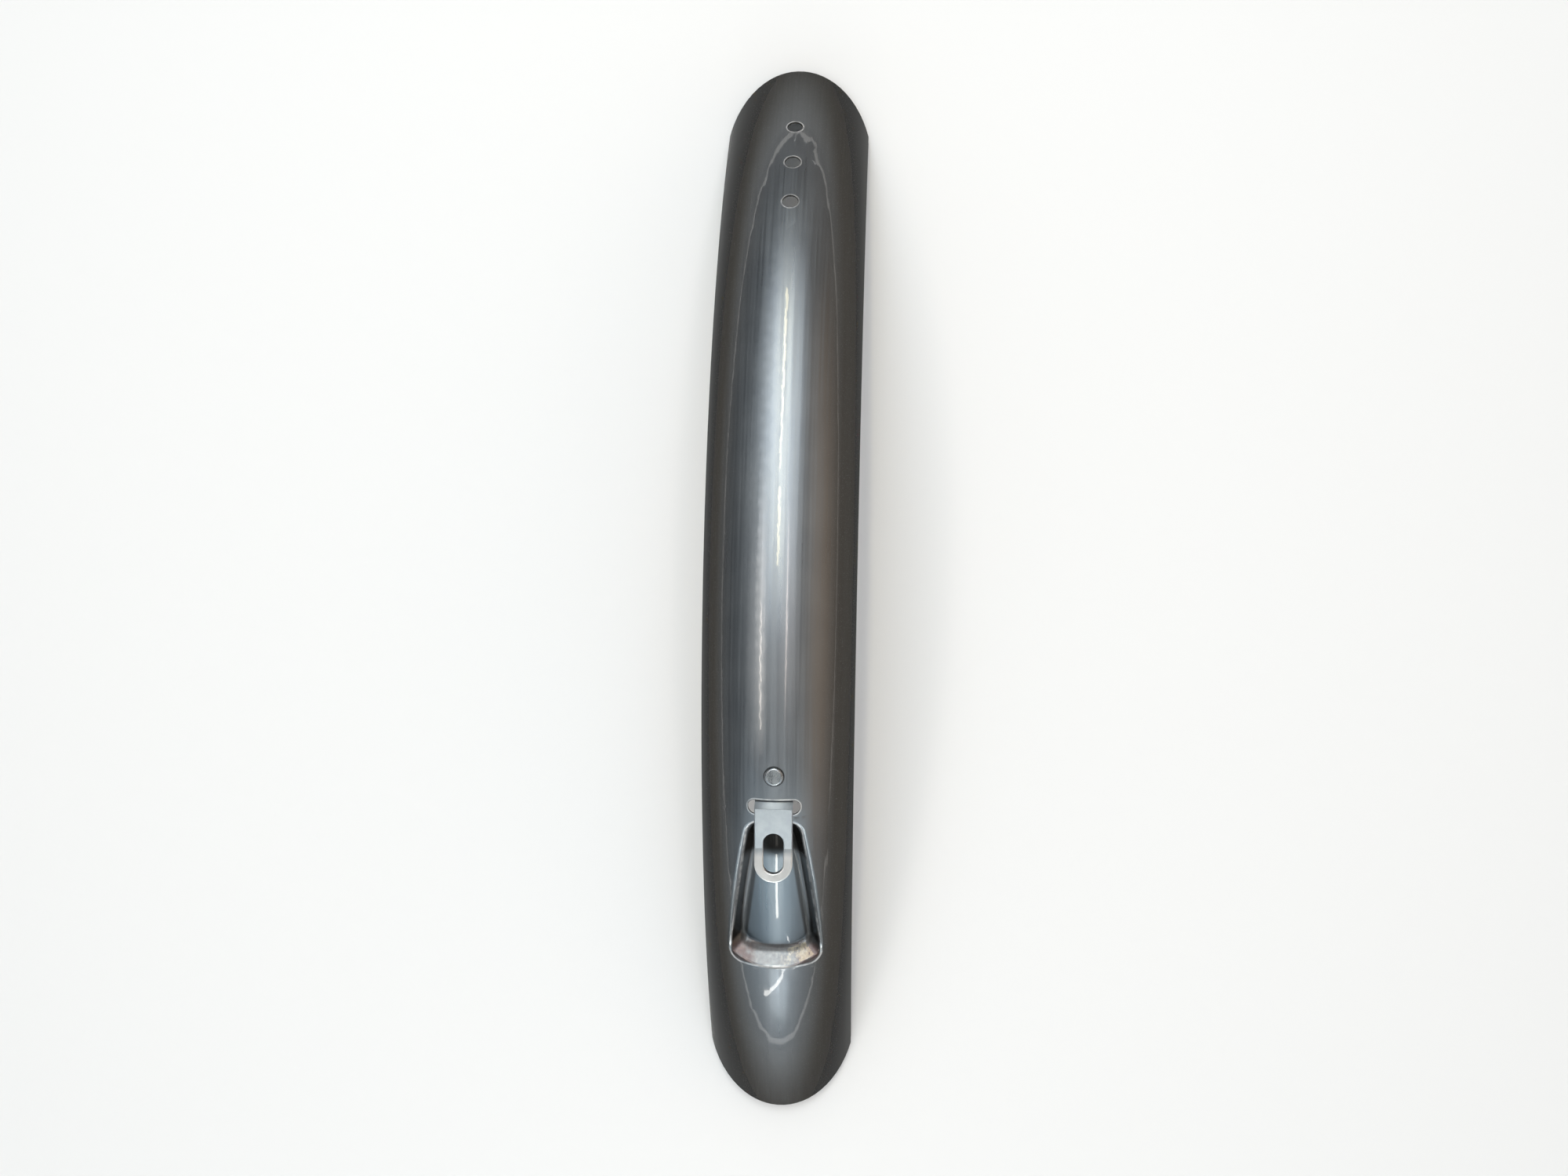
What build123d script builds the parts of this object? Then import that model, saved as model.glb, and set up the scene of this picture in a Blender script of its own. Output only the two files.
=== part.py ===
"""Front bicycle mudguard: a pressed steel blade with a riveted fork bracket. Millimetres, +Z up."""

import math
import os

from build123d import *

# Blade: arch and section
crown_radius = 345.0  # outside of the crown, from the wheel axle
guard_width = 67.0
guard_depth = 24.5  # crown to side edge, along the radius
sheet = 0.8
tip_angle = 46.1  # top of the arch to either tip, in degrees

# Blade: ends and side edges
tip_fullness = 4.5  # how much the radius of an end exceeds half the width
hem_width = 5.0
hem_setback = 3.0  # how far past the corner the hem begins
bead_diameter = 4.0
bead_turn = 285.0  # how far the side edge is rolled, in degrees
bead_setback = 5.0  # gap between a bead's end and the corner of the blade

# Bolt holes near the rear tip
hole_diameter = 7.0
hole_count = 3
hole_pitch = 24.5
tip_to_hole = 47.5

# Bracket slot and rivet, placed along the crown from the front tip
tip_to_slot = 182.3
slot_side_gap = 2.95  # slot wider than the strip, on each side
slot_length = 6.4
slot_corner = 3.0
slot_to_rivet = 14.2

# Pressed recess, its widths taken at its rim
slot_to_recess = 6.6
recess_length = 75.0
recess_wide = 42.4
recess_narrow = 22.8
recess_wide_corner = 5.0
recess_narrow_corner = 8.0
recess_depth = 8.0
recess_draft = 40.0  # slope of its walls from the upright, in degrees
recess_rim_radius = 1.6
recess_floor_radius = 2.0

# Bracket strip
strip = 2.0
tab_width = 16.4
root_overhang = 8.0  # strip left behind the rivet
seat_gap = 0.3  # tab to blade where it clears the slot
edge_gap = 0.4  # strip to the slot's edges
step_length = 2.6  # over which the strip climbs out of the slot
tab_edge = 0.5  # rounding of the tab's upper edges
tab_reach = 33.0  # slot centre to the tab's end
tab_bend_reach = 18.0
tab_bend = 8.0  # upward set of the tab's outer half, in degrees
tab_slot_width = 8.6
tab_slot_length = 18.0

# Rivet
rivet_head_diameter = 8.2
rivet_head_height = 1.1
rivet_head_radius = 0.95
rivet_shank_diameter = 4.0
rivet_tail_diameter = 6.4
rivet_tail_height = 1.3
rivet_clearance = 0.05

# Derived: section circle and its path round the axle
half_width = guard_width / 2
section_radius = (half_width**2 + guard_depth**2) / (2 * guard_depth)
core_radius = crown_radius - section_radius
edge_angle = math.degrees(math.atan2(half_width, section_radius - guard_depth))
edge_radius = crown_radius - guard_depth

# Derived: where each round end is centred and where it meets the side edge
tip_round = half_width + tip_fullness
round_angle = tip_angle - math.degrees(math.asin(tip_round / crown_radius))
corner_reach = math.sqrt(tip_round**2 - half_width**2)
corner_angle = round_angle + math.degrees(math.asin(corner_reach / edge_radius))
bead_angle = corner_angle - math.degrees(bead_setback / edge_radius)
span = tip_angle + math.degrees(hem_width / crown_radius)

# Derived: the slot, from the strip that passes through it
slot_width = tab_width + 2 * slot_side_gap

# Derived: size of the blocks that cut, larger than what they cut across
clear = 2 * guard_width


def along(distance):
    """Angle at the axle for a distance along the crown."""
    return math.degrees(distance / crown_radius)


slot_angle = -tip_angle + along(tip_to_slot)
rivet_angle = slot_angle + along(slot_to_rivet)
recess_angle = slot_angle - along(slot_to_recess + recess_length / 2)
hole_angles = [tip_angle - along(tip_to_hole + i * hole_pitch) for i in range(hole_count)]


def station(angle):
    """Plane across the blade: local x sideways, local y out from the axle."""
    turn = math.radians(angle)
    return Plane((0, 0, 0), x_dir=(1, 0, 0), z_dir=(0, -math.cos(turn), math.sin(turn)))


def crown_plane(angle):
    """Plane on the crown: local x sideways, local y along the blade to the rear, local z outward."""
    turn = math.radians(angle)
    out = Vector(0, math.sin(turn), math.cos(turn))
    return Plane(out * crown_radius, x_dir=(1, 0, 0), z_dir=out)


def arc(radius, half):
    """Arc of the section across the crown, as one exact rational curve."""
    turn = math.radians(half)
    side = radius * math.sin(turn)
    low = core_radius + radius * math.cos(turn)
    peak = core_radius + radius / math.cos(turn)
    return Bezier((side, low), (0, peak), (-side, low), weights=(1, math.cos(turn), 1))


def band(outside, inside, half):
    """Face of the section between two radii."""
    arcs = [arc(radius, half) for radius in (outside, inside)]
    ends = [Line(arcs[0] @ k, arcs[1] @ k) for k in (0, 1)]
    return make_face(arcs + ends)


def tube(radius):
    """All that lies under the given section radius, along the whole arch."""
    top = arc(radius, edge_angle)
    below = Vector(0, -guard_depth)
    sides = Polyline(top @ 0, (top @ 0) + below, (top @ 1) + below, top @ 1)
    return revolve(station(span) * make_face([top, sides]), axis=Axis.X, revolution_arc=2 * span)


def section_reach(point):
    """Distance from the middle of the section, wherever the point lies along the arch."""
    return math.hypot(point.X, math.hypot(point.Y, point.Z) - core_radius)


def end_cutter(side, inset, start):
    """All that lies beyond the round end on one side, or beyond a line set in from it."""
    box = Pos(0, side * (corner_reach + start + clear / 2)) * Box(clear, clear, clear)
    keep = Cylinder(tip_round - inset, clear)
    return crown_plane(side * round_angle) * (box - keep)


def shell(outside, inside):
    """Part of the arch between two section radii, as wide as the blade."""
    face = station(span) * band(outside, inside, edge_angle)
    return revolve(face, axis=Axis.X, revolution_arc=2 * span)


def bead(side):
    """Rolled side edge, as a section turned round the axle."""
    turn = math.radians(edge_angle)
    radius = bead_diameter / 2
    reach = section_radius - radius
    centre = (side * reach * math.sin(turn), core_radius + reach * math.cos(turn))
    start = 90 - side * edge_angle
    outer = CenterArc(centre, radius, start, -side * bead_turn)
    inner = CenterArc(centre, radius - sheet, start, -side * bead_turn)
    ends = [Line(outer @ k, inner @ k) for k in (0, 1)]
    ring = make_face([outer, inner] + ends)
    return revolve(station(bead_angle) * ring, axis=Axis.X, revolution_arc=2 * bead_angle)


def hem(side):
    """Second layer of sheet along one round end."""
    layer = shell(section_radius - sheet, section_radius - 2 * sheet)
    return layer & end_cutter(side, hem_width, hem_setback)


def recess_mouth(half, reach):
    """Half-width level with the crown of a recess wall that meets the sheet at the given place."""
    sunk = section_radius - math.sqrt(section_radius**2 - half**2)
    sunk += crown_radius - math.sqrt(crown_radius**2 - reach**2)
    return half + sunk * math.tan(math.radians(recess_draft))


def recess_wall(middle, facing, grow):
    """All that lies outside one sloping wall of the recess, given by a line level with the crown."""
    slope = math.radians(recess_draft)
    normal = Vector(*facing).normalized() * math.cos(slope) - Vector(0, 0, math.sin(slope))
    wall = Plane(Vector(*middle) + normal * grow, z_dir=normal)
    return wall * Pos(0, 0, clear / 2) * Box(clear, clear, clear)


def recess_tool(grow):
    """The pressed hollow as a solid: sloping walls down to a floor that follows the arch."""
    reach = recess_length / 2
    wide = recess_mouth(recess_wide / 2, reach)
    narrow = recess_mouth(recess_narrow / 2, reach)
    ends = reach + recess_mouth(0, reach)
    block = Box(clear, clear, 2 * guard_depth)
    for side in (1, -1):
        facing = (side, (wide - narrow) / recess_length, 0)
        block = block - recess_wall((side * (wide + narrow) / 2, 0, 0), facing, grow)
        block = block - recess_wall((0, side * ends, 0), (0, side, 0), grow)
    return crown_plane(recess_angle) * block - tube(section_radius - recess_depth - grow)


def recess_window():
    """Block round the recess, inside which the pressed sheet takes the place of the plain one."""
    margin = 1.2 * recess_rim_radius
    width = recess_wide + 2 * margin
    return crown_plane(recess_angle) * Box(width, recess_length + 2 * margin, guard_depth + 2 * recess_depth)


def recess_edges(block, inner, outer):
    """Edges of the recess that run from one distance to another from the section's middle."""
    plane = crown_plane(recess_angle)
    found = []
    for edge in block.edges():
        middle = plane.to_local_coords(edge @ 0.5)
        ends = sorted(section_reach(edge @ k) for k in (0, 1))
        inside = abs(middle.X) < recess_wide / 2 + 1 and abs(middle.Y) < recess_length / 2 + 1
        if inside and abs(ends[0] - inner) < 0.01 and abs(ends[1] - outer) < 0.01:
            found.append(edge)
    return found


def pressed(grow):
    """Block under one face of the sheet with the recess sunk into it, its edges rounded."""
    mouth = section_radius - grow
    floor = mouth - recess_depth
    plane = crown_plane(recess_angle)
    block = (recess_window() & tube(mouth)) - recess_tool(grow)
    for side, corner in ((1, recess_narrow_corner), (-1, recess_wide_corner)):
        edges = recess_edges(block, floor, mouth)
        near = [edge for edge in edges if side * plane.to_local_coords(edge @ 0.5).Y > 0]
        block = fillet(near[:2], corner + grow)
    block = fillet(recess_edges(block, mouth, mouth), recess_rim_radius - grow)
    return fillet(recess_edges(block, floor, floor), recess_floor_radius + grow)


def rivet_hole():
    """Tool for the rivet's hole through sheet and strip."""
    return crown_plane(rivet_angle) * Cylinder(rivet_shank_diameter / 2 + rivet_clearance, guard_depth)


def make_blade():
    """The whole pressed sheet, with its holes and slot."""
    blade = shell(section_radius, section_radius - sheet) + [hem(side) for side in (1, -1)]
    for side in (1, -1):
        blade = blade - end_cutter(side, 0, -hem_setback)
    blade = blade + [bead(side) for side in (1, -1)]
    blade = blade - recess_window() + (pressed(0) - pressed(sheet))
    slot = RectangleRounded(slot_width, slot_length, slot_corner)
    blade = blade - crown_plane(slot_angle) * extrude(slot, guard_depth, both=True)
    for angle in hole_angles:
        blade = blade - crown_plane(angle) * Cylinder(hole_diameter / 2, guard_depth)
    return blade - rivet_hole()


def root_section(reach):
    """Cross-section of the strip where it is formed to the inside of the crown."""
    outside = section_radius - sheet
    half = math.degrees(math.asin(tab_width / 2 / outside))
    return station(slot_angle + along(reach)) * band(outside, outside - strip, half)


def make_tab(start):
    """Outer end of the strip, with its upward set, its long slot and rounded upper edges."""
    turn = math.radians(tab_bend)
    end = tab_reach - tab_bend_reach
    low = [(start, 0), (-tab_bend_reach, 0), (-tab_reach, end * math.tan(turn))]
    lean = strip * math.tan(turn / 2)
    end_height = low[2][1] + strip / math.cos(turn)
    high = [(-tab_reach, end_height), (lean - tab_bend_reach, strip), (start, strip)]
    tab = extrude(Plane.YZ * make_face(Polyline(*low, *high, close=True)), tab_width / 2, both=True)
    length = tab_reach + start
    shape = Pos(0, start - length / 2) * Rectangle(tab_width, length)
    shape = fillet(shape.vertices().group_by(Axis.Y)[0], tab_width / 2 - tab_edge / 10)
    margin = (tab_width - tab_slot_width) / 2
    hole = Rot(0, 0, 90) * SlotOverall(tab_slot_length, tab_slot_width)
    shape = shape - Pos(0, margin + tab_slot_length / 2 - tab_reach) * hole
    tab = tab & extrude(shape, guard_depth, both=True)
    tops = [face for face in tab.faces() if face.normal_at().Z > math.cos(2 * turn)]
    rims = [edge for face in tops for edge in face.edges() if not is_fold(edge, start)]
    return fillet(rims, tab_edge)


def is_fold(edge, start):
    """Whether an edge of the tab runs straight across it, at its fold or at its root."""
    step = (edge @ 1) - (edge @ 0)
    across = abs(step.X) > tab_width / 2 and abs(step.Y) < strip / 10
    return across and (edge @ 0.5).Y > -tab_bend_reach - strip


def make_bracket():
    """Strip from under the crown, up through the slot and out as a slotted tab."""
    plane = crown_plane(slot_angle)
    rise = slot_length / 2 - edge_gap
    start = rise - step_length
    back = slot_to_rivet + root_overhang
    root = revolve(root_section(back), axis=Axis.X, revolution_arc=along(back - rise))
    middle = plane.from_local_coords((0, start, seat_gap + strip / 2))
    foot = Plane(middle, x_dir=(1, 0, 0), z_dir=plane.y_dir) * Rectangle(tab_width, strip)
    step = loft([root_section(rise).face(), foot.face()], ruled=True)
    return root + step + plane * Pos(0, 0, seat_gap) * make_tab(start) - rivet_hole()


def make_rivet():
    """Rivet with a low head on the crown and a closed tail under the strip."""
    plane = crown_plane(rivet_angle)
    shank = rivet_shank_diameter / 2
    under = sheet + strip
    head = Cylinder(rivet_head_diameter / 2, 2 * rivet_head_height)
    head = fillet(head.edges().group_by(Axis.Z)[-1], rivet_head_radius)
    tail = Pos(0, 0, -under) * Cylinder(rivet_tail_diameter / 2, 2 * rivet_tail_height)
    tail = fillet(tail.edges().group_by(Axis.Z)[0], rivet_head_radius)
    core = Pos(0, 0, -under / 2) * Cylinder(shank, under + rivet_head_height)
    layers = shell(section_radius, section_radius - under) - plane * Cylinder(shank, guard_depth)
    return plane * (head + core + tail) - layers


pieces = {"blade": make_blade(), "fork_bracket": make_bracket(), "bracket_rivet": make_rivet()}
floor = pieces["blade"].bounding_box().min.Z
os.makedirs("parts", exist_ok=True)
for name, piece in pieces.items():
    solid = (Pos(0, 0, -floor) * piece).solids()[0]
    solid.label = name
    print(name, len(piece.solids()), piece.is_valid, round(piece.volume), solid.bounding_box())
    export_step(solid, f"parts/{name}.step")
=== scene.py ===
"""Looks for the front bicycle mudguard: paint, plated steel, floor, light and camera. Metres, +Z up."""

import math
from functools import reduce

import bpy
from mathutils import Matrix, Vector

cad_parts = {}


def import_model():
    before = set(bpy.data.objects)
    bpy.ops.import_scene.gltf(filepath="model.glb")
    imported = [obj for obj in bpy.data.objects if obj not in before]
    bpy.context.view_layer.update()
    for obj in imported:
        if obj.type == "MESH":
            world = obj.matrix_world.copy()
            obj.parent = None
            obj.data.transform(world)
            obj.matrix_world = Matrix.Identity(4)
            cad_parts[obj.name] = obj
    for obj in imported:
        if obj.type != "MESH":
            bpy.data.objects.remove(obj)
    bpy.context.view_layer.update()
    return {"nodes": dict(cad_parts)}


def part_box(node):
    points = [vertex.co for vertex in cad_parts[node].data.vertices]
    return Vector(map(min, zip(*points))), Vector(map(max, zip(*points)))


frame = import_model()

# Blade: arch and section
crown_radius = 0.345
guard_width = 0.067
guard_depth = 0.0245
tip_angle = math.radians(46.1)
section_radius = ((guard_width / 2) ** 2 + guard_depth**2) / (2 * guard_depth)
core_radius = crown_radius - section_radius
axle_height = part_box("blade")[1].z - crown_radius

# Places along the crown are measured from the top of the arch
tip_reach = tip_angle * crown_radius

# Bolt holes near the rear tip
hole_count = 3
hole_radius = 0.0035
hole_pitch = 0.0245
tip_to_hole = 0.0475
hole_places = [tip_reach - tip_to_hole - i * hole_pitch for i in range(hole_count)]

# Bracket slot, its size across and along, and rivet
slot_size = (0.0223, 0.0064)
slot_corner = 0.003
tip_to_slot = 0.1823
slot_place = tip_to_slot - tip_reach
rivet_radius = 0.0041
slot_to_rivet = 0.0142
rivet_place = slot_place + slot_to_rivet

# Pressed recess
recess_length = 0.075
recess_wide = 0.0424
recess_narrow = 0.0228
recess_corner = 0.006
slot_to_recess = 0.0066
recess_place = slot_place - slot_to_recess - recess_length / 2
recess_front = recess_place - recess_length / 2


def stretch(place, start, end):
    """Length of crown from one distance past a place to another."""
    return place + start, place + end


# Painted highlights on the rims of the recess, slot and holes: how each fades off its edge, and where the
# tab keeps the recess's rim from getting one
rim_highlight_fade = (0.0002, 0.0007)
ring_offset = 0.0004
ring_fade = (0.0002, 0.0005)
tab_sides = (0.006, 0.009)
tab_front = stretch(recess_place, 0.0, 0.01)
rim_highlight_amount = (0.35, 1.0)

# Rubbed side edges: angle round the section, in radians, and how much metal shows
edge_lean = (1.2, 1.28)
edge_patches = (0.58, 0.74)
edge_wear = 0.12

# Painted shade: at the foot of the recess walls, under the tab, round the rivet and in the openings
foot_inset = 0.0055
foot_fade = (0.0008, 0.0019)
foot_sunk = (0.004, 0.006)
foot_shade = 0.6
tab_shade = stretch(slot_place, -0.029, -0.0225)
tab_sunk = (0.001, 0.003)
tab_shade_amount = 0.95
rivet_fade = (0.0002, 0.0007)
rivet_shade = 0.85
wall_fade = (0.0001, 0.0002)
shade_tone = (0.02, 0.018, 0.016, 1)
shade_rough = 0.3

# Browner, darker patches on the recess's wide end wall
brown_wall_span = stretch(recess_front, 0.006, 0.009)
brown_wall_rim = (-0.0012, -0.0004)
brown_wall_sides = (0.007, 0.012)
brown_wall_amount = (0.25, 0.85)
brown_patch_range = (0.4, 1.0)
wall_brown_tone = (0.09, 0.06, 0.058, 1)

# Paint: two close tones, a darker painted shade on the slopes and towards the tips, and a bluer painted
# reflection on the recess's floor
paint_tones = (0.188, 0.206, 0.225, 1), (0.21, 0.228, 0.245, 1)
slope_shade_tone = (0.056, 0.052, 0.046, 1)
slope_shade_range = (0.62, 0.94)
pan_reflection_tone = (0.135, 0.162, 0.185, 1)
pan_fade = (-0.0075, -0.006)
pan_reflection_amount = 0.8
fleck_tone = (0.26, 0.27, 0.28, 1)
fleck_range = (0.62, 0.8)
fleck_amount = 0.4
# Bare metal of worn side edges, also the colour of the painted rim highlights
bare_metal_and_highlight = (0.6, 0.6, 0.6, 1)
grazing_tint = (0.07, 0.05, 0.035, 1)

# Paint: gloss and unevenness
streak_rough = (0.27, 0.4)
cloud_range = (0.35, 0.7)
cloud_rough = 0.03
coat_weight = (0.9, 0.35)
coat_rough = 0.03
coat_ior = 1.5
wave_depth = 0.00005
peel_depth = 0.000003
coat_peel_depth = 0.000002

# Painted shade on the wheel side, and how far a surface turns to count as that side
inside_turn = (-0.2, 0.1)
wheel_side_shade_tone = (0.08, 0.076, 0.072, 1)
wheel_side_shade_amount = 0.6
wheel_side_rough = 0.25

# Plated steel: two close tones, least roughness and depth of grain of each piece
bracket_tones = (0.32, 0.35, 0.38, 1), (0.38, 0.41, 0.435, 1)
bracket_rough = 0.3
bracket_grain = 0.000004
rivet_tones = (0.28, 0.3, 0.32, 1), (0.34, 0.36, 0.375, 1)
rivet_rough = 0.2
rivet_grain = 0.000002

# Plated steel: spots, painted highlight at the bolt seat, and unevenness
spot_tone = (0.3, 0.3, 0.3, 1)
spot_range = (0.62, 0.75)
spot_amount = 0.35
seat_highlight_tone = (0.78, 0.78, 0.77, 1)
seat_highlight_fade = stretch(slot_place, -0.022, -0.018)
seat_highlight_amount = 0.9
grain_rough = 0.08
bloom_range = (0.4, 0.7)
bloom_rough = 0.06
bloom_depth = 0.00003

# Noise: cells in a metre, across, along and out where they differ, and the values that count
wave_scale = (170, 22, 170)
streak_scale = (900, 12, 900)
peel_scale = 700.0
cloud_scale = 38.0
fleck_scale = 2600.0
edge_scale = 160.0
rim_highlight_scale = 300.0
brown_patch_scale = 260.0
grain_scale = (2400, 90, 2400)
bloom_scale = 240.0
spot_scale = 1500.0
noise_range = (0.3, 0.7)
patch_range = (0.3, 0.6)

# Floor: it glows a little far off, so that it stays pale
floor_reach = 14.0
floor_tone = (0.82, 0.82, 0.83, 1)
floor_rough = 0.9
far_floor = (0.9, 3.4)
far_glow = 0.52
far_tone = (1.0, 0.99, 0.98, 1)

# Lamps: what they aim at, their colours, and the strips far off on all four sides
lamp_aim = Vector((0, 0, 0.08))
daylight = (0.88, 0.95, 1.0)
skylight = (0.9, 0.97, 1.0)
yellow = (1.0, 0.86, 0.5)
cream = (1.0, 0.92, 0.83)
peach = (1.0, 0.9, 0.8)
rose = (1.0, 0.86, 0.78)
brown = (1.0, 0.68, 0.42)
blue = (0.76, 0.92, 1.0)
pale_blue = (0.84, 0.95, 1.0)
warm_white = (1.0, 0.97, 0.92)
ivory = (1.0, 0.95, 0.85)
strip_color = (1.0, 0.97, 0.93)
strip_reach = 15.0
strip_height = 0.25
strip_width = 0.4
strip_level = 2.4

# World: level by height, tint from left to right, and the glow low down in front
room_levels = [(0.0, 0.24), (0.34, 0.22), (0.6, 0.26), (1.0, 0.24)]
cool_tint = (0.94, 0.98, 1.0, 1)
warm_tint = (1.4, 1.26, 1.13, 1)
warm_side = (-0.4, 0.8)
glow_tone = (0.3, 0.37, 0.42, 1)
glow_foot = (-0.05, 0.02)
glow_top = (0.25, 0.6)
glow_front = (-0.9, -0.4)

# Camera
camera_place = Vector((0.045, 0.0, 0.837))
camera_aim = Vector((0.0, 0.0, 0.055))
camera_roll = math.radians(1.13)
camera_lens = 39.7
sensor_width = 36.0

# Colour sockets of a Mix node, which share their names with its other sockets
mix_a = 6
mix_b = 7
mix_result = 2


class Nodes:
    """Short calls for building one node tree."""

    def __init__(self, tree):
        self.tree = tree

    def put(self, socket, value):
        """Links an output to a socket, or sets the socket to a plain value."""
        if isinstance(value, bpy.types.NodeSocket):
            self.tree.links.new(value, socket)
        else:
            socket.default_value = value

    def fill(self, node, values):
        for key, value in values.items():
            self.put(node.inputs[key], value)

    def add(self, kind, values, **settings):
        node = self.tree.nodes.new("ShaderNode" + kind)
        for key, value in settings.items():
            setattr(node, key, value)
        self.fill(node, values)
        return node

    def math(self, operation, a, b=0.0):
        return self.add("Math", {0: a, 1: b}, operation=operation).outputs[0]

    def plus(self, a, b):
        return self.math("ADD", a, b)

    def minus(self, a, b):
        return self.math("SUBTRACT", a, b)

    def times(self, a, b):
        return self.math("MULTIPLY", a, b)

    def most(self, *values):
        return reduce(lambda a, b: self.math("MAXIMUM", a, b), values)

    def magnitude(self, value):
        return self.math("ABSOLUTE", value)

    def square(self, value):
        return self.math("POWER", value, 2.0)

    def diagonal(self, a, b):
        return self.math("SQRT", self.plus(self.square(a), self.square(b)))

    def vector(self, x, y, z):
        return self.add("CombineXYZ", {0: x, 1: y, 2: z}).outputs[0]

    def parts(self, vector):
        return self.add("SeparateXYZ", {0: vector}).outputs

    def span(self, value, source, target):
        """Carries a value smoothly from one range to another."""
        ends = {"From Min": source[0], "From Max": source[1], "To Min": target[0], "To Max": target[1]}
        return self.add("MapRange", {"Value": value, **ends}, interpolation_type="SMOOTHSTEP").outputs[0]

    def rise(self, value, source, top=1.0):
        """From 0 where a range starts to top where it ends."""
        return self.span(value, source, (0.0, top))

    def fall(self, value, source, top=1.0):
        """From top where a range starts to 0 where it ends."""
        return self.span(value, source, (top, 0.0))

    def blend(self, factor, a, b, kind="MIX"):
        node = self.add("Mix", {"Factor": factor}, data_type="RGBA", blend_type=kind)
        self.fill(node, {mix_a: a, mix_b: b})
        return node.outputs[mix_result]

    def noise(self, vector, scale, detail):
        """Soft noise with one scale, or with three that stretch it along the axes."""
        if isinstance(scale, tuple):
            vector = self.add("VectorMath", {0: vector, 1: scale}, operation="MULTIPLY").outputs[0]
            scale = 1.0
        return self.add("TexNoise", {"Vector": vector, "Scale": scale, "Detail": detail}).outputs["Fac"]

    def bump(self, height, distance, below=None):
        values = {"Height": height, "Distance": distance, "Strength": 1.0}
        if below is not None:
            values["Normal"] = below
        return self.add("Bump", values).outputs[0]


def new_material(name):
    material = bpy.data.materials.new(name)
    material.use_nodes = True
    return material, Nodes(material.node_tree), material.node_tree.nodes["Principled BSDF"]


def arch_parts(nodes):
    """Place on the arch: across, lengthwise, up and out from the axle, and out from the core circle."""
    place = nodes.parts(nodes.add("TexCoord", {}).outputs["Object"])
    up = nodes.minus(place["Z"], axle_height)
    reach = nodes.diagonal(place["Y"], up)
    rise = nodes.minus(reach, core_radius)
    return {"across": place["X"], "lengthwise": place["Y"], "up": up, "reach": reach, "rise": rise}


def laid_flat(nodes, arch):
    """The same place with the arch laid flat: across, along the crown, and out."""
    turn = nodes.math("ARCTAN2", arch["lengthwise"], arch["up"])
    return nodes.vector(arch["across"], nodes.times(turn, crown_radius), arch["rise"])


def facing_out(nodes, arch):
    """How far the surface faces out of the section: 1 on the outside, -1 on the wheel side."""
    lift = nodes.math("DIVIDE", arch["rise"], arch["reach"])
    out = nodes.vector(arch["across"], nodes.times(arch["lengthwise"], lift), nodes.times(arch["up"], lift))
    out = nodes.add("VectorMath", {0: out}, operation="NORMALIZE").outputs[0]
    normal = nodes.add("NewGeometry", {}).outputs["Normal"]
    return nodes.add("VectorMath", {0: out, 1: normal}, operation="DOT_PRODUCT").outputs["Value"]


def edge_distance(nodes, flat, place, size, corner, taper=0.0):
    """Distance on the crown from the edge of a rounded oblong, negative inside; taper widens its front."""
    parts = nodes.parts(flat)
    along = nodes.minus(parts["Y"], place)
    wide = nodes.plus(nodes.magnitude(parts["X"]), nodes.times(along, taper))
    across = nodes.minus(wide, size[0] / 2 - corner)
    along = nodes.minus(nodes.magnitude(along), size[1] / 2 - corner)
    beyond = nodes.diagonal(nodes.most(across, 0.0), nodes.most(along, 0.0))
    within = nodes.math("MINIMUM", nodes.most(across, along), 0.0)
    return nodes.minus(nodes.plus(beyond, within), corner)


def round_distance(nodes, flat, place, radius):
    """Distance on the crown from the edge of a circle, negative inside."""
    return edge_distance(nodes, flat, place, (2 * radius, 2 * radius), radius)


def blade_edges(nodes, flat):
    """Distance from the rim of the recess, and those from the slot and from each hole."""
    taper = (recess_wide - recess_narrow) / 2 / recess_length
    size = ((recess_wide + recess_narrow) / 2, recess_length)
    recess = edge_distance(nodes, flat, recess_place, size, recess_corner, taper)
    openings = [edge_distance(nodes, flat, slot_place, slot_size, slot_corner)]
    openings += [round_distance(nodes, flat, place, hole_radius) for place in hole_places]
    return recess, openings


def rim_highlights(nodes, flat, recess, openings):
    """Where highlights are painted on rims: round the recess clear of the tab, round the slot and the holes.
    """
    parts = nodes.parts(flat)
    beside_tab = nodes.rise(nodes.magnitude(parts["X"]), tab_sides)
    before_tab = nodes.fall(parts["Y"], tab_front)
    rim = nodes.fall(nodes.magnitude(recess), rim_highlight_fade)
    total = nodes.times(rim, nodes.most(beside_tab, before_tab))
    for gap in openings:
        off_ring = nodes.magnitude(nodes.minus(gap, ring_offset))
        total = nodes.most(total, nodes.fall(off_ring, ring_fade))
    return nodes.times(total, nodes.span(nodes.noise(flat, rim_highlight_scale, detail=2.0), patch_range, rim_highlight_amount))


def rubbed_edges(nodes, flat, lean):
    """Where the rolled side edges are rubbed, in patches."""
    patches = nodes.rise(nodes.noise(flat, edge_scale, detail=4.0), edge_patches, edge_wear)
    return nodes.times(nodes.rise(lean, edge_lean), patches)


def painted_shade(nodes, flat, recess, openings):
    """Where shade is painted: the foot of the recess walls, under the tab, round the rivet and in the
    openings.
    """
    parts = nodes.parts(flat)
    sunk = nodes.minus(section_radius, nodes.diagonal(parts["X"], parts["Z"]))
    foot = nodes.fall(nodes.magnitude(nodes.plus(recess, foot_inset)), foot_fade, foot_shade)
    foot = nodes.times(foot, nodes.rise(sunk, foot_sunk))
    under_tab = nodes.times(nodes.rise(sunk, tab_sunk), nodes.rise(parts["Y"], tab_shade, tab_shade_amount))
    round_rivet = round_distance(nodes, flat, rivet_place, rivet_radius)
    round_rivet = nodes.fall(round_rivet, rivet_fade, rivet_shade)
    walls = [nodes.fall(gap, wall_fade) for gap in openings]
    return nodes.most(foot, under_tab, round_rivet, *walls)


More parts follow.
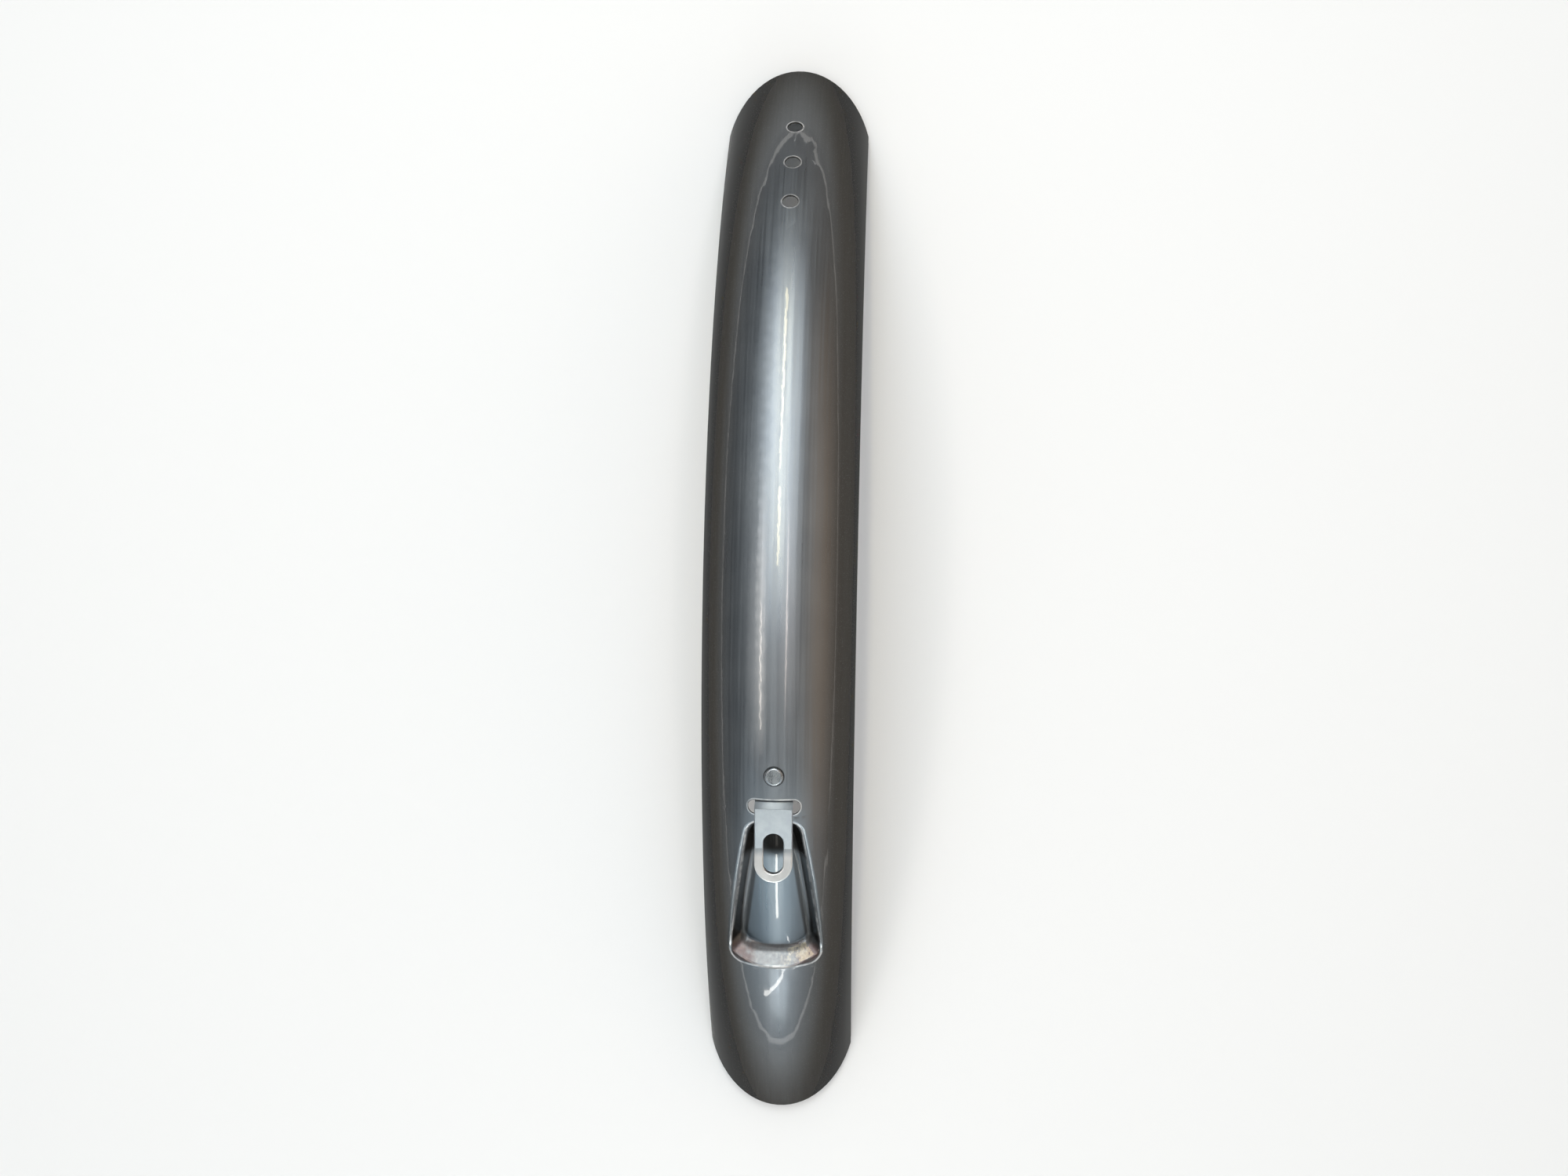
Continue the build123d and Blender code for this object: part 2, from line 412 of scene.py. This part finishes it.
def browned_end_wall(nodes, flat, recess):
    """Where the recess's wide end wall turns browner and darker, more towards its sides."""
    parts = nodes.parts(flat)
    sides = nodes.span(nodes.magnitude(parts["X"]), brown_wall_sides, brown_wall_amount)
    wall = nodes.times(nodes.fall(parts["Y"], brown_wall_span), nodes.fall(recess, brown_wall_rim))
    patches = nodes.span(nodes.noise(flat, brown_patch_scale, detail=3.0), patch_range, brown_patch_range)
    return nodes.times(nodes.times(sides, wall), patches)


def paint_masks(nodes, arch, flat):
    """How much of each look the paint has at a place, from 0 to 1."""
    recess, openings = blade_edges(nodes, flat)
    inside = nodes.fall(facing_out(nodes, arch), inside_turn)
    outside = nodes.minus(1.0, inside)
    lean = nodes.math("ARCTAN2", nodes.magnitude(arch["across"]), arch["rise"])
    turn = nodes.math("DIVIDE", nodes.parts(flat)["Y"], crown_radius)
    upward = nodes.times(nodes.math("COSINE", lean), nodes.math("COSINE", turn))
    rims = nodes.times(rim_highlights(nodes, flat, recess, openings), outside)
    return {
        "inside": inside,
        "slope_shading": nodes.fall(upward, slope_shade_range),
        "recess_reflection": nodes.times(nodes.fall(recess, pan_fade, pan_reflection_amount), outside),
        "end_wall_brown": browned_end_wall(nodes, flat, recess),
        "wear_and_highlight": nodes.most(rubbed_edges(nodes, flat, lean), rims),
        "shaded": nodes.times(painted_shade(nodes, flat, recess, openings), outside),
    }


def paint_tone(nodes, flat, cloud, masks):
    """Colour of the paint, with flecks, worn bare metal and browner patches, and painted shade, reflection
    and highlights.
    """
    flecks = nodes.rise(nodes.noise(flat, fleck_scale, detail=1.0), fleck_range, fleck_amount)
    tone = nodes.blend(nodes.rise(cloud, noise_range), *paint_tones)
    # Painted shade: darker towards the slopes and tips
    tone = nodes.blend(masks["slope_shading"], tone, slope_shade_tone)
    tone = nodes.blend(flecks, tone, fleck_tone)
    # Painted reflection: bluer on the recess's floor
    tone = nodes.blend(masks["recess_reflection"], tone, pan_reflection_tone)
    # Browner and darker patches on the recess's wide end wall
    tone = nodes.blend(masks["end_wall_brown"], tone, wall_brown_tone)
    # Worn bare metal on the side edges, and painted highlights on the rims
    tone = nodes.blend(masks["wear_and_highlight"], tone, bare_metal_and_highlight)
    # Painted shade at the foot of the recess walls, under the tab, round the rivet and in the openings
    tone = nodes.blend(masks["shaded"], tone, shade_tone)
    # Painted shade on the wheel side
    return nodes.blend(nodes.times(masks["inside"], wheel_side_shade_amount), tone, wheel_side_shade_tone)


def paint_rough(nodes, flat, cloud, masks):
    """Roughness of the paint: lengthwise streaks and soft clouds, duller where shade is painted and on the
    wheel side.
    """
    streaks = nodes.span(nodes.noise(flat, streak_scale, detail=3.0), noise_range, streak_rough)
    rough = nodes.plus(streaks, nodes.rise(cloud, cloud_range, cloud_rough))
    rough = nodes.plus(rough, nodes.times(masks["shaded"], shade_rough))
    return nodes.plus(rough, nodes.times(masks["inside"], wheel_side_rough))


def paint():
    """Grey metallic lacquer over pressed steel, with painted shade on the slopes and tips, and duller with
    painted shade on the wheel side.
    """
    material, nodes, shader = new_material("blade_paint")
    arch = arch_parts(nodes)
    flat = laid_flat(nodes, arch)
    masks = paint_masks(nodes, arch, flat)
    cloud = nodes.noise(flat, cloud_scale, detail=3.0)
    peel = nodes.noise(flat, peel_scale, detail=1.0)
    wavy = nodes.bump(nodes.noise(flat, wave_scale, detail=4.0), wave_depth)
    coat = nodes.span(nodes.most(masks["inside"], masks["slope_shading"]), (0.0, 1.0), coat_weight)
    nodes.fill(shader, {
        "Base Color": paint_tone(nodes, flat, cloud, masks),
        "Roughness": paint_rough(nodes, flat, cloud, masks),
        "Metallic": 1.0,
        "Specular Tint": grazing_tint,
        "Normal": nodes.bump(peel, peel_depth, wavy),
        "Coat Weight": nodes.times(coat, nodes.minus(1.0, masks["shaded"])),
        "Coat Roughness": coat_rough,
        "Coat IOR": coat_ior,
        "Coat Normal": nodes.bump(peel, coat_peel_depth, wavy),
    })
    return material


def plated(name, tones, rough, grain):
    """Satin zinc-plated steel with fine lengthwise grain and dull spots, and a painted highlight where a
    bolt sits.
    """
    material, nodes, shader = new_material(name)
    flat = laid_flat(nodes, arch_parts(nodes))
    lines = nodes.noise(flat, grain_scale, detail=3.0)
    bloom = nodes.noise(flat, bloom_scale, detail=3.0)
    spots = nodes.rise(nodes.noise(flat, spot_scale, detail=2.0), spot_range, spot_amount)
    # Painted highlight where a bolt sits
    bolt_highlight = nodes.fall(nodes.parts(flat)["Y"], seat_highlight_fade, seat_highlight_amount)
    tone = nodes.blend(nodes.rise(bloom, noise_range), *tones)
    tone = nodes.blend(spots, tone, spot_tone)
    brushed = nodes.span(lines, noise_range, (rough, rough + grain_rough))
    nodes.fill(shader, {
        "Base Color": nodes.blend(bolt_highlight, tone, seat_highlight_tone),
        "Roughness": nodes.plus(brushed, nodes.rise(bloom, bloom_range, bloom_rough)),
        "Metallic": 1.0,
        "Normal": nodes.bump(lines, grain, nodes.bump(bloom, bloom_depth)),
    })
    return material


def floor_material():
    """Matt and pale; its far glow is there for what is seen, mirrored or looked through, not as light."""
    material, nodes, shader = new_material("floor")
    place = nodes.add("TexCoord", {}).outputs["Object"]
    distance = nodes.add("VectorMath", {0: place}, operation="LENGTH").outputs["Value"]
    ray = nodes.add("LightPath", {}).outputs
    seen = nodes.most(ray["Is Camera Ray"], ray["Is Glossy Ray"], ray["Is Transmission Ray"])
    nodes.fill(shader, {
        "Base Color": floor_tone,
        "Roughness": floor_rough,
        "Specular IOR Level": 0.0,
        "Emission Color": far_tone,
        "Emission Strength": nodes.times(seen, nodes.rise(distance, far_floor, far_glow)),
    })
    return material


def floor():
    """Plain square floor under the object."""
    signs = ((-1, -1), (1, -1), (1, 1), (-1, 1))
    mesh = bpy.data.meshes.new("floor")
    mesh.from_pydata([(x * floor_reach, y * floor_reach, 0) for x, y in signs], [], [(0, 1, 2, 3)])
    plane = bpy.data.objects.new("floor", mesh)
    bpy.context.scene.collection.objects.link(plane)
    mesh.materials.append(floor_material())


def aimed(place, target, upright):
    """Placement at a point, looking at a target, with its top towards a direction."""
    back = (place - target).normalized()
    right = upright.cross(back).normalized()
    axes = Matrix((right, back.cross(right), back)).transposed()
    return Matrix.Translation(place) @ axes.to_4x4()


def fade_to_edges(data):
    """Makes a lamp brightest in its middle and dark at its edges."""
    data.use_nodes = True
    nodes = Nodes(data.node_tree)
    across = nodes.parts(nodes.add("NewGeometry", {}).outputs["Parametric"])
    fades = []
    for axis in ("X", "Y"):
        off_middle = nodes.minus(nodes.times(across[axis], 2.0), 1.0)
        fades.append(nodes.minus(1.0, nodes.square(nodes.magnitude(off_middle))))
    nodes.put(data.node_tree.nodes["Emission"].inputs["Strength"], nodes.times(*fades))


def lamp(name, place, size, level, color, soft=False):
    """Panel aimed at the object; level is how bright its middle is, and a soft one fades to its edges."""
    width, length = size
    data = bpy.data.lights.new(name, "AREA")
    data.shape = "RECTANGLE"
    data.size = width
    data.size_y = length
    data.energy = level * math.pi * width * length
    data.color = color
    if soft:
        fade_to_edges(data)
    light = bpy.data.objects.new(name, data)
    light.matrix_world = aimed(Vector(place), lamp_aim, Vector((0, 1, 0)))
    light.visible_camera = False
    bpy.context.scene.collection.objects.link(light)


def lamps():
    """Windows, panels and tubes that the paint mirrors."""
    # Above the rear half
    lamp("window", place=(-0.07, 0.7, 1.35), size=(1.6, 2.4), level=3.0, color=daylight, soft=True)
    lamp("sky", place=(0.0, 0.3, 1.7), size=(5.6, 3.2), level=0.22, color=skylight, soft=True)
    lamp("tube_far", place=(-0.03, 0.86, 1.12), size=(0.05, 0.85), level=11.0, color=yellow)
    lamp("tube_near", place=(-0.03, 0.23, 1.2), size=(0.05, 0.3), level=11.0, color=yellow)
    # At the sides
    lamp("left_panel", place=(-0.52, -0.1, 1.2), size=(0.3, 1.2), level=2.8, color=cream, soft=True)
    lamp("left_tube", place=(-0.5, -0.3, 1.15), size=(0.03, 0.5), level=9.0, color=peach)
    lamp("right_tube", place=(0.26, -0.1, 1.2), size=(0.06, 0.9), level=11.0, color=rose, soft=True)
    lamp("right_wall", place=(2.0, 0.0, 0.95), size=(2.2, 5.0), level=0.42, color=brown, soft=True)
    # In front
    lamp("low_window", place=(0.0, -1.26, 0.95), size=(3.0, 0.9), level=1.5, color=blue, soft=True)
    lamp("low_panel", place=(0.03, -1.6, 0.4), size=(0.6, 0.4), level=3.0, color=pale_blue, soft=True)
    lamp("high_glint", place=(0.45, -1.5, 0.53), size=(0.28, 0.03), level=12.0, color=warm_white)
    lamp("low_glint", place=(-0.1, -1.5, 0.4), size=(0.6, 0.03), level=12.0, color=warm_white)
    lamp("low_tube", place=(-0.02, -1.1, 0.85), size=(0.07, 0.5), level=16.0, color=ivory)


def strips():
    """Long low lamps just past the floor's four edges, which the steep sides mirror."""
    for side in (-1, 1):
        place = (side * strip_reach, 0.0, strip_height)
        lamp(f"strip_x_{side}", place, (strip_width, 2 * strip_reach), strip_level, strip_color)
        place = (0.0, side * strip_reach, strip_height)
        lamp(f"strip_y_{side}", place, (2 * strip_reach, strip_width), strip_level, strip_color)


def room_level(nodes, height):
    """Grey of the room by height, as a ramp whose new stops are then put in place."""
    ramp = nodes.add("ValToRGB", {0: height})
    stops = ramp.color_ramp.elements
    while len(stops) < len(room_levels):
        stops.new(0.5)
    for stop, (spot, level) in zip(stops, room_levels):
        stop.position = spot
        stop.color = (level, level, level, 1)
    return ramp.outputs[0]


def world():
    """Dim even room, a little warmer on the right, with a cool glow low down in front."""
    space = bpy.data.worlds.new("studio")
    bpy.context.scene.world = space
    space.use_nodes = True
    nodes = Nodes(space.node_tree)
    way = nodes.parts(nodes.add("TexCoord", {}).outputs["Generated"])
    tint = nodes.blend(nodes.rise(way["X"], warm_side), cool_tint, warm_tint)
    room = nodes.blend(1.0, room_level(nodes, way["Z"]), tint, "MULTIPLY")
    low = nodes.times(nodes.fall(way["Z"], glow_top), nodes.rise(way["Z"], glow_foot))
    glow = nodes.times(low, nodes.fall(way["Y"], glow_front))
    background = space.node_tree.nodes["Background"]
    nodes.put(background.inputs["Color"], nodes.blend(glow, room, glow_tone, "ADD"))


def camera():
    """Camera at the photograph's viewing angle."""
    data = bpy.data.cameras.new("camera")
    data.lens = camera_lens
    data.sensor_width = sensor_width
    data.sensor_fit = "HORIZONTAL"
    view = bpy.data.objects.new("camera", data)
    upright = Vector((-math.sin(camera_roll), math.cos(camera_roll), 0))
    view.matrix_world = aimed(camera_place, camera_aim, upright)
    bpy.context.scene.collection.objects.link(view)
    bpy.context.scene.camera = view


def dress(node, material):
    """Gives a carried-over node its finish."""
    mesh = frame["nodes"][node].data
    mesh.materials.clear()
    mesh.materials.append(material)


dress("blade", paint())
dress("fork_bracket", plated("bracket_steel", bracket_tones, bracket_rough, bracket_grain))
dress("bracket_rivet", plated("rivet_steel", rivet_tones, rivet_rough, rivet_grain))
floor()
lamps()
strips()
world()
camera()
bpy.context.scene.view_settings.view_transform = "Standard"
